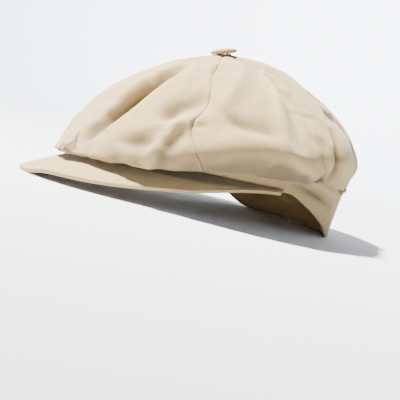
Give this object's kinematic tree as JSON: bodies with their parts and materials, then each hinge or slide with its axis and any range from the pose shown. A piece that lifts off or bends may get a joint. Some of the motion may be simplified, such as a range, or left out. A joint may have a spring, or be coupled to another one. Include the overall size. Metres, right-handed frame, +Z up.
{
  "type": "cotton cap",
  "caption": "Soft newsboy cap in plain beige cotton with a full panelled crown, narrow band, stiff peak and covered button, resting on a surface.",
  "frame": {"origin": "middle of the cap's bounding box in plan, on the surface that it rests on", "axes": "-Y towards the front of the peak, +X towards the wearer's left, +Z up"},
  "size_m": [0.2298, 0.2845, 0.1277],
  "materials": {
    "crown_cotton": "matt beige plain-weave cotton",
    "band_cotton": "matt beige plain-weave cotton",
    "peak_cotton": "matt beige plain-weave cotton",
    "button_cotton": "matt beige plain-weave cotton"
  },
  "bodies": {
    "root": {"crown_panel_front_left": "crown_cotton", "crown_panel_foreside_left": "crown_cotton", "crown_panel_rearside_left": "crown_cotton", "crown_panel_back_left": "crown_cotton", "crown_panel_back_right": "crown_cotton", "crown_panel_rearside_right": "crown_cotton", "crown_panel_foreside_right": "crown_cotton", "crown_panel_front_right": "crown_cotton", "band": "band_cotton", "peak": "peak_cotton", "button": "button_cotton"}
  },
  "joints": []
}
